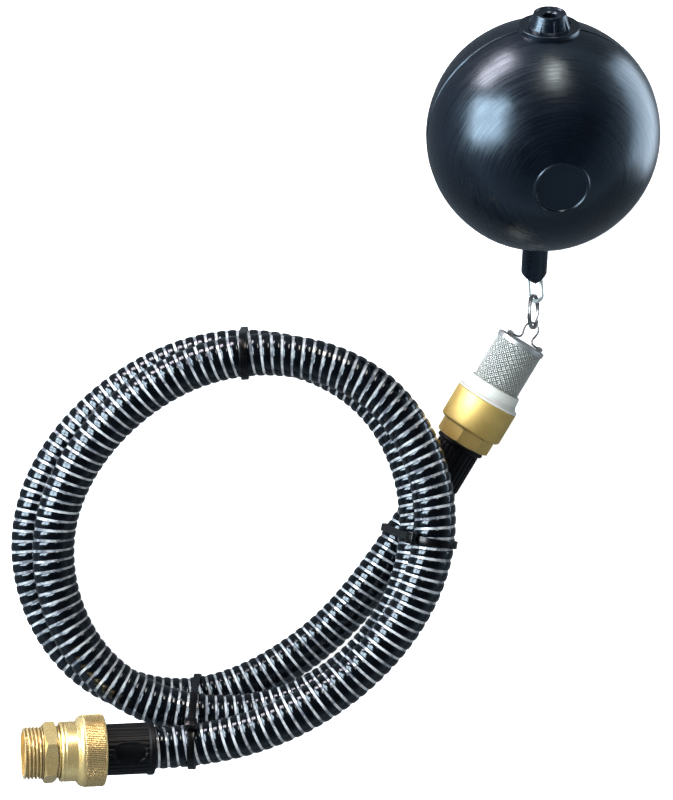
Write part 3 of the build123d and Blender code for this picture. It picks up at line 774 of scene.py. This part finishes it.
def coil_tie(spot, heading, head_angle):
    """Nylon band with fine teeth, a lock head with its window, and the cut tail."""
    plan = math.radians(heading)
    along = np.array([math.cos(plan), math.sin(plan), 0])
    across = np.array([math.sin(plan), -math.cos(plan), 0])
    origin = np.array([spot[0], spot[1], -OUTLET_HEIGHT])
    found = crossings(origin, across, along)
    rim = np.concatenate([place + polar(radius + TIE_THICK / 2, circle(96)) for place, radius in found])
    loop = even_loop(hull(rim), TIE_STEPS)
    ahead = np.roll(loop, -1, axis=0) - np.roll(loop, 1, axis=0)
    ahead /= np.linalg.norm(ahead, axis=1)[:, None]
    out = np.stack([ahead[:, 1], -ahead[:, 0]], axis=1)
    section = box_section(TIE_THICK, TIE_WIDTH, 0.35, 2)
    toothed = (section[None, :, 0] > 0.3) & (np.abs(section[None, :, 1]) < 1.6)
    thick = section[None, :, 0] - toothed * 0.12 * (np.arange(TIE_STEPS)[:, None] % 2)
    flat = loop[:, None, :] + thick[:, :, None] * out[:, None, :]
    wide = np.broadcast_to(section[None, :, 1], flat.shape[:2])
    band = np.concatenate([flat, wide[:, :, None]], axis=2)
    shape = Shape().add(band, grid_faces(TIE_STEPS, len(section), True))
    way = np.array([math.cos(math.radians(head_angle)), math.sin(math.radians(head_angle))])
    place, radius = max(found, key=lambda item: item[0] @ way + item[1])
    seat = shift(place[0], place[1], 0) @ turn(head_angle, "Z")
    face = radius + TIE_THICK - 0.25
    blocks = (
        (TIE_HEAD, 0.8, (face + TIE_HEAD[0] / 2, 0, 0)),
        ((0.6, 2.6, 4.4), 0.25, (face + TIE_HEAD[0], 0, 0)),
        ((TIE_THICK, 4.0, TIE_WIDTH), 0.3, (face + 2.4, -TIE_HEAD[1] / 2 - 1.0, 0)),
    )
    for size, edge, centre in blocks:
        shape.add(*rounded_block(size, edge), seat @ shift(*centre))
    matrix = Matrix((across, (0, 0, -1), along)).transposed().to_4x4()
    matrix.translation = Vector(origin) * MM
    return shape, matrix


# ==== foot valve ====
def inlet_cuff():
    outer = [(13.95, 0.0), (14.5, 0.0), (14.9, 0.6), (14.9, 5.0), (14.2, 6.0), (14.2, 35.2), (16.2, 35.8),
             (16.7, 36.4), (16.7, 37.6), (16.3, 38.0), (12.3, 38.0)]
    outer = dense(rounded(outer, 0.4, 3, False), 0.5)
    inner = [(12.3, 47.4), (9.6, 47.4), (9.6, 28.0), (13.85, 28.0)]
    reshape = cuff_ribs(24, 6.4, 35.4, 0.7)
    return Shape().add(*lathe(outer + inner, 384, reshape))


def valve_end():
    octagon = prism_grid(8, OCTAGON_FLATS, 39.0, 49.2, OCTAGON_TURN + 22.5, 13.5, 0.5)
    spigot = rounded([(14.5, 48.0), (17.2, 48.0), (17.2, 55.1), (14.5, 55.1)], 0.2, 1)
    return Shape().add(*octagon).add(*lathe(spigot, 96))


def valve_body():
    outer = rounded([(17.45, 49.2), (20.5, 49.2), (21.9, 50.6), (21.95, 72.0), (21.5, 72.5), (14.0, 72.5)],
                    0.45, 4, False)
    inner = [(13.4, 71.9), (13.4, 65.8), (9.8, 65.8), (9.8, 64.0), (15.6, 64.0), (15.6, 56.6), (17.45, 56.6)]
    return Shape().add(*lathe(dense(outer, 1.2) + inner, 192))


def strainer_collar():
    outer = rounded([(10.1, 66.1), (13.0, 66.1), (13.0, 72.5), (21.6, 72.5), (21.9, 72.9), (21.8, 73.7),
                     (19.9, 74.8, 0.8), (18.9, 77.0, 0.8), (18.4, 82.4), (17.8, 83.2), (16.8, 83.2),
                     (16.65, 82.8), (16.65, 76.0), (10.1, 76.0)], 0.3, 4)
    return Shape().add(*lathe(outer, 160))


def strainer_mesh():
    """Woven wire cloth rolled to a tube: two families of wires that cross over and under each other."""
    shape = Shape()
    count, wire, wave, radius = 48, 0.3, 0.26, MESH_RADIUS - 0.56
    low, high = 76.4, CAP_START + 1.5
    pitch = 2 * math.pi * radius / count * 0.92
    spans = int((high - low) / (pitch / 2))
    for direction in (-1, 1):
        for index in range(count):
            along = np.arange(spans * 3 + 1) / 3
            angle = 2 * math.pi / count * (index + direction * along / 2)
            over = radius + direction * wave * np.cos(math.pi * (along + index))
            shape.add(*sweep(polar(over, angle, low + along * pitch / 2), disc_section(wire, 6)))
    # painted shade: a thin tube just inside the wires, in the cloth's dark colour, stands for the shade inside the
    # cloth tube
    back, front = radius - 0.7, radius - 0.5
    return shape.add(*lathe([(back, low), (front, low), (front, high), (back, high)], 96))


def strainer_cap():
    """Pressed end cap with a rolled rim and a shallow dished face."""
    outline = rounded([(0, 116.3), (11.5, 116.3), (13.0, 116.9), (15.9, 117.2), (16.9, 116.9), (17.1, 116.3),
                       (17.0, 115.6), (17.1, 114.9), (17.05, 113.95), (16.6, CAP_START), (16.55, 116.1),
                       (12.8, 116.2), (11.6, 115.7), (0, 115.7)], 0.35, 4, False)
    return Shape().add(*lathe(outline, 144, closed=False))


def bail_lugs():
    """Two sheet clips curled over the feet of the bail and spot-welded to the cap."""
    shape = Shape()
    turns = np.linspace(math.pi * 1.25, -math.pi * 0.25, 22)
    curl = polar(1, turns)
    section = np.vstack([[(-3.2, -1.9), (-1.4, -1.9)], 1.5 * curl,
                         [(1.4, -1.9), (3.2, -1.9), (3.2, -1.45), (1.15, -1.45)], 0.85 * curl[::-1],
                         [(-1.15, -1.45), (-3.2, -1.45)]])
    count = len(section)
    for side in (-1, 1):
        rows = [np.column_stack([np.full(count, BAIL_SHIFT + side * 11.0 + x), section + (0, BAIL_AXIS)])
                for x in (-1.6, -1.45, 1.45, 1.6)]
        shape.add(np.concatenate(rows), capped_faces(len(rows), count))
    return shape


# ==== bail, ring, link ====
def smooth_line(points):
    """Catmull-Rom line through points."""
    samples = 14
    points = np.asarray(points, float)
    padded = np.vstack([2 * points[0] - points[1], points, 2 * points[-1] - points[-2]])
    result = []
    for index in range(1, len(padded) - 2):
        a, b, c, d = padded[index - 1:index + 3]
        share = np.arange(samples)[:, None] / samples
        result.extend(0.5 * (2 * b + (c - a) * share + (2 * a - 5 * b + 4 * c - d) * share ** 2
                             + (3 * b - a - 3 * c + d) * share ** 3))
    result.append(points[-1])
    return np.array(result)


def strainer_bail():
    """Omega-shaped wire: two straight feet, a neck and a round loop."""
    half = [(-13.4, 0, 0), (-10.2, 0, 0), (-7.2, 0, 0), (-4.7, 0, 0.9), (-3.9, 0, 3.2), (-4.4, 0, 6.0),
            (-4.7, 0, 9.5), (-3.2, 0, 12.9)]
    line = smooth_line(half + [(0, 0, 14.3)] + [(-x, y, z) for x, y, z in half[::-1]])
    return Shape().add(*sweep(line, disc_section(BAIL_WIRE, 16)))


def split_ring():
    """Key ring of square wire: just under two turns that step from one layer to the other."""
    count, total, step_angle = 220, 690.0, 60.0
    angle = total * np.arange(count + 1) / count
    layer = RING_WIRE + 0.04
    rise = layer * (smooth_step((angle - (total - step_angle) / 2) / step_angle) - 0.5)
    way = np.radians(angle)
    line = polar(RING_RADIUS, way, rise)
    section = box_section(RING_WIRE, RING_WIRE, 0.35, 3)
    tangents = np.gradient(line, axis=0)
    tangents /= np.linalg.norm(tangents, axis=1)[:, None]
    outward = polar(1, way, 0 * way)
    return Shape().add(*carried(line, section, outward, np.cross(tangents, outward)))


def chain_link():
    half_width = LINK_WIDTH / 2 - LINK_WIRE
    top = -(PIN_RADIUS + LINK_WIRE + 0.15) / math.cos(math.radians(LINK_PITCH))
    bottom = top + LINK_LENGTH - 2 * LINK_WIRE
    line = []
    for middle, first in ((bottom - half_width, 0), (top + half_width, math.pi)):
        for step in range(25):
            angle = first + math.pi * step / 24
            line.append((half_width * math.cos(angle), 0, middle + half_width * math.sin(angle)))
    return Shape().add(*sweep(line, disc_section(LINK_WIRE, 18), True))


# ==== float ====
def float_shell():
    """Ball meshed about the axis of its mould halves, so that the seam and the recessed round are exact."""
    radius = FLOAT_RADIUS
    flat = math.sqrt(radius ** 2 - DISC_RADIUS ** 2) - 0.35
    rows = [(reach, -flat, 0) for reach in (0, 4, 8, 12, 14.5, 15.6)]
    for reach, lift in ((15.9, 0.05), (16.15, 0.35), (16.45, 0.62), (16.8, 0.68), (17.15, 0.5), (17.5, 0.15)):
        rows.append((reach, -math.sqrt(radius ** 2 - reach ** 2) - lift + (0.12 if reach < 16 else 0), 0))
    equator = math.pi / 2
    spots = np.concatenate([np.linspace(math.asin(18.0 / radius), equator - 0.03, 74),
                            np.linspace(equator - 0.026, equator + 0.026, 17),
                            np.linspace(equator + 0.03, math.pi, 90)])
    rows += [(radius * math.sin(spot), -radius * math.cos(spot), 1) for spot in spots]
    rows = np.array(rows)
    columns = 300
    across, depth, angle = np.broadcast_arrays(rows[:, :1], rows[:, 1:2], circle(columns)[None, :])
    ragged = 1 + 0.25 * np.sin(angle * 9) * np.sin(angle * 23 + 1)
    seam = 0.16 * np.exp(-(depth / 0.9) ** 2) - 0.95 * ragged * np.exp(-((depth + 1.1) / 0.55) ** 2)
    swell = 0.12 * np.sin(3 * angle + depth / 22) * np.sin(depth / 17 + 0.6)
    swell += 0.06 * np.sin(7 * angle - depth / 9)
    grow = 1 + (seam + swell * rows[:, 2:3]) / radius
    points = np.stack([across * np.cos(angle) * grow, depth * np.where(rows[:, 2:3] > 0, grow, 1),
                       across * np.sin(angle) * grow], axis=2)
    shape = Shape().add(points, grid_faces(len(rows), columns, False))
    tip = LUG_TIP
    lug = dense(rounded([(9.8, -71.5), (LUG_RADIUS + 0.2, -76.5), (LUG_RADIUS, -80), (LUG_RADIUS, 2 - tip)],
                        1.2, 4, False), 1.5)
    lug += [(LUG_RADIUS - 0.1, 0.6 - tip), (LUG_RADIUS - 0.5, -tip), (LUG_BORE + 0.3, -tip),
            (LUG_BORE, 0.4 - tip), (LUG_BORE, 11.2 - tip), (0, 11.6 - tip)]

    def chisel(reach, height, spin):
        share = smooth_step((-height - tip + 10.5) / 10.5)
        return reach, height + LUG_SLOPE * np.abs(reach * np.cos(spin)) * share

    shape.add(*lathe([(0, -70.0)] + lug, 96, chisel, False))
    return shape


def float_plug():
    """Flanged plug with a ribbed, tapered boss and a blind hole."""
    outline = rounded([(0, FLANGE_SEAT - 6), (17, FLANGE_SEAT - 6), (FLANGE_RADIUS, FLANGE_SEAT - 1.0),
                       (FLANGE_RADIUS, FLANGE_TOP - 0.1), (18.3, FLANGE_TOP), (13.1, FLANGE_TOP - 0.3),
                       (12.4, FLANGE_TOP + 1.2), (10.0, BOSS_TOP), (9.0, BOSS_TOP), (8.4, BOSS_TOP - 0.8),
                       (5.6, BOSS_TOP - 1.4), (4.3, BOSS_TOP - 2.2), (4.2, BOSS_TOP - 8),
                       (0, BOSS_TOP - 8)], 0.5, 3, False)
    shape = Shape().add(*lathe(outline, 120, closed=False))
    profile = np.array(rounded([(9.0, FLANGE_TOP - 0.5), (14.2, FLANGE_TOP - 0.5), (13.7, FLANGE_TOP + 0.7),
                                (10.7, BOSS_TOP - 1.8), (9.0, BOSS_TOP - 1.4)], 0.5, 2))
    count = len(profile)
    rib = np.concatenate([
        np.column_stack([profile[:, 0] - inset, np.full(count, y), profile[:, 1] - inset * 0.5])
        for y, inset in ((-0.9, 0.3), (-0.7, 0), (0.7, 0), (0.9, 0.3))])
    for index in range(BOSS_RIBS):
        shape.add(rib, capped_faces(4, count), turn(360 / BOSS_RIBS * index - 82, "Z"))
    return shape


# ==== build ====
def turned(about, body, finish, slot, sharp, *builders):
    """Finishes pieces that share a frame, a body and a look; each builder is named after its node."""
    for builder in builders:
        node = builder.__name__
        finish_piece(node + "_detail", builder(), about, body, finish, slot, node, sharp)


turned(OUTLET, "root", BRASS_MACHINED, "brass_machined", 30, outlet_nipple)
turned(OUTLET, "union_nut", BRASS_MACHINED, "brass_machined", 40, union_nut)
turned(OUTLET, "root", CUFF_BLACK, "black_cuff", 40, outlet_cuff)
finish_piece("hose_rib", hose_rib(), WORLD, "root", RIB_BLACK, "hose_black", "suction_hose", 60)
finish_piece("hose_wall", hose_wall(), WORLD, "root", WALL_CLEAR, "hose_black", "suction_hose", 60)
for tie_name, tie_place in TIES.items():
    finish_piece(tie_name + "_detail", *coil_tie(*tie_place), "root", TIE_BLACK, "tie_nylon", tie_name, 40)
turned(VALVE, "root", CUFF_BLACK, "black_cuff", 40, inlet_cuff)
turned(VALVE, "root", BRASS_BRUSHED, "brass_brushed", 30, valve_end)
turned(VALVE, "root", BRASS_BRUSHED, "brass_brushed", 40, valve_body)
turned(VALVE, "root", NYLON, "white_nylon", 40, strainer_collar)
turned(VALVE, "root", CLOTH, "stainless", 70, strainer_mesh)
turned(VALVE, "root", STEEL, "stainless", 40, strainer_cap, bail_lugs)
turned(BAIL, "bail", DARK_STEEL, "stainless", 50, strainer_bail)
turned(RING, "ring", DARK_STEEL, "stainless", 50, split_ring)
turned(LINK, "link", ZINC, "zinc", 50, chain_link)
turned(FLOAT, "float", FLOAT_BLACK, "float_black", 40, float_shell, float_plug)

KEPT_NODES = {
    "union_gasket": RUBBER, "inlet_gasket": RUBBER, "body_seal": RUBBER, "poppet_seal": RUBBER,
    "spring_guide": NYLON, "poppet": NYLON, "poppet_spring": STEEL, "link_pin": STEEL,
}
for node_name, finish in KEPT_NODES.items():
    kept = frame["nodes"][node_name].data.materials
    kept.clear()
    kept.append(finish)


# ==== floor, light, camera ====
def floor():
    """Glowing floor: white to the camera, a pale glow lighting the set for diffuse light; reflections see it dark,
    with a bright glowing stretch as a painted reflection.
    """
    mesh = bpy.data.meshes.new("floor")
    corners = [(x * FLOOR_HALF, y * FLOOR_HALF, FLOOR) for x, y in ((-1, -1), (1, -1), (1, 1), (-1, 1))]
    mesh.from_pydata(corners, [], [(0, 1, 2, 3)])
    paint = Paint("floor", False)
    paint.nodes.remove(paint.nodes["Principled BSDF"])
    path = paint.node("LightPath").outputs
    seen = path["Is Camera Ray"]
    x, y = paint.split()[:2]
    # painted reflection: the floor glows in a bright stretch beside the ball, seen only by glossy rays
    across = paint.math("SUBTRACT", x, BALL_SPOT[0])
    slope = paint.math("DIVIDE", paint.math("SUBTRACT", y, BALL_SPOT[1]), across)
    glow_stretch = paint.times(paint.band(across, 0.13, 0.2), paint.band(slope, -0.4, -0.2))
    glow_stretch = paint.times(glow_stretch, paint.band(slope, 1.1, 0.85))
    reflected_glow = paint.math("ADD", paint.times(glow_stretch, 5.0), 0.24)
    # the floor also glows for diffuse rays, lighting the set from below
    strength = paint.math("ADD", paint.times(path["Is Glossy Ray"], reflected_glow),
                          paint.times(path["Is Diffuse Ray"], 0.6))
    strength = paint.math("ADD", strength, paint.times(seen, 0.72))
    colour = paint.blend(seen, (0.72, 0.86, 1.0), (1.0, 1.0, 1.0))
    glow = paint.node("Emission", {"Strength": strength, "Color": colour}).outputs[0]
    matt = paint.node("BsdfDiffuse", {"Color": (0.9, 0.9, 0.9)}).outputs[0]
    both = paint.node("AddShader", {0: glow, 1: matt}).outputs[0]
    mix = paint.node("MixShader", {0: seen, 1: glow, 2: both}).outputs[0]
    paint.feed(paint.nodes["Material Output"].inputs[0], mix)
    mesh.materials.append(paint.owner)
    placed("floor", mesh)


def softbox(name, place, target, size, power, colour, glossy=True, panes=(1, 1)):
    """A soft light split into panes with dark bars between them, like a window."""
    facing = (Vector(target) - Vector(place)).to_track_quat("-Z", "Y")
    for column in range(panes[0]):
        for row in range(panes[1]):
            data = bpy.data.lights.new(name, "AREA")
            data.shape = "RECTANGLE"
            data.size = size[0] / panes[0] * (1 - PANE_GAP)
            data.size_y = size[1] / panes[1] * (1 - PANE_GAP)
            data.energy = power / (panes[0] * panes[1])
            data.color = colour
            lamp = placed(name, data)
            offset = Vector(((column + 0.5) / panes[0] - 0.5, (row + 0.5) / panes[1] - 0.5, 0))
            lamp.location = Vector(place) + facing @ Vector((offset.x * size[0], offset.y * size[1], 0))
            lamp.rotation_euler = facing.to_euler()
            lamp.visible_glossy = glossy
            lamp.visible_camera = False


def studio():
    """Pale blue horizon that darkens overhead, white to the camera, and five soft lights."""
    world = bpy.data.worlds.new("studio")
    bpy.context.scene.world = world
    paint = Paint("studio", False, world)
    way = paint.split(paint.node("TexCoord").outputs["Generated"])
    sky = paint.blend(paint.band(way[2], 0, 0.75), (0.40, 0.50, 0.60), (0.03, 0.034, 0.042))
    seen = paint.node("LightPath").outputs["Is Camera Ray"]
    paint.feed(paint.nodes["Background"].inputs["Color"], paint.blend(seen, sky, (1, 1, 1)))
    ball, middle = (0.33, 0.39, -0.02), (0.2, 0.2, -0.05)
    softbox("key_left", (-0.86, 0.60, 0.68), ball, (0.95, 0.95), 48, (0.82, 0.92, 1.0), True, (2, 2))
    softbox("back_pink", (-0.69, 1.72, 0.23), ball, (0.9, 0.55), 26, (1.0, 0.85, 0.88), True, (2, 1))
    softbox("back_warm", (0.48, 1.5, 0.88), ball, (0.25, 0.7), 9, (1.0, 0.88, 0.74))
    softbox("fill_top", (0.2, 0.2, 1.5), middle, (1.4, 1.4), 12, (1, 1, 1), False)
    softbox("front_low", (0.1, -1.2, 0.7), middle, (0.8, 0.5), 9, (1.0, 0.98, 0.95), False)


def camera():
    data = bpy.data.cameras.new("camera")
    data.lens = CAMERA_LENS
    data.sensor_width = 36.0
    data.clip_start, data.clip_end = 0.05, 20
    view = placed("camera", data)
    view.location = CAMERA_PLACE
    bpy.context.scene.camera = view


floor()
studio()
camera()
bpy.context.scene.view_settings.view_transform = "Standard"
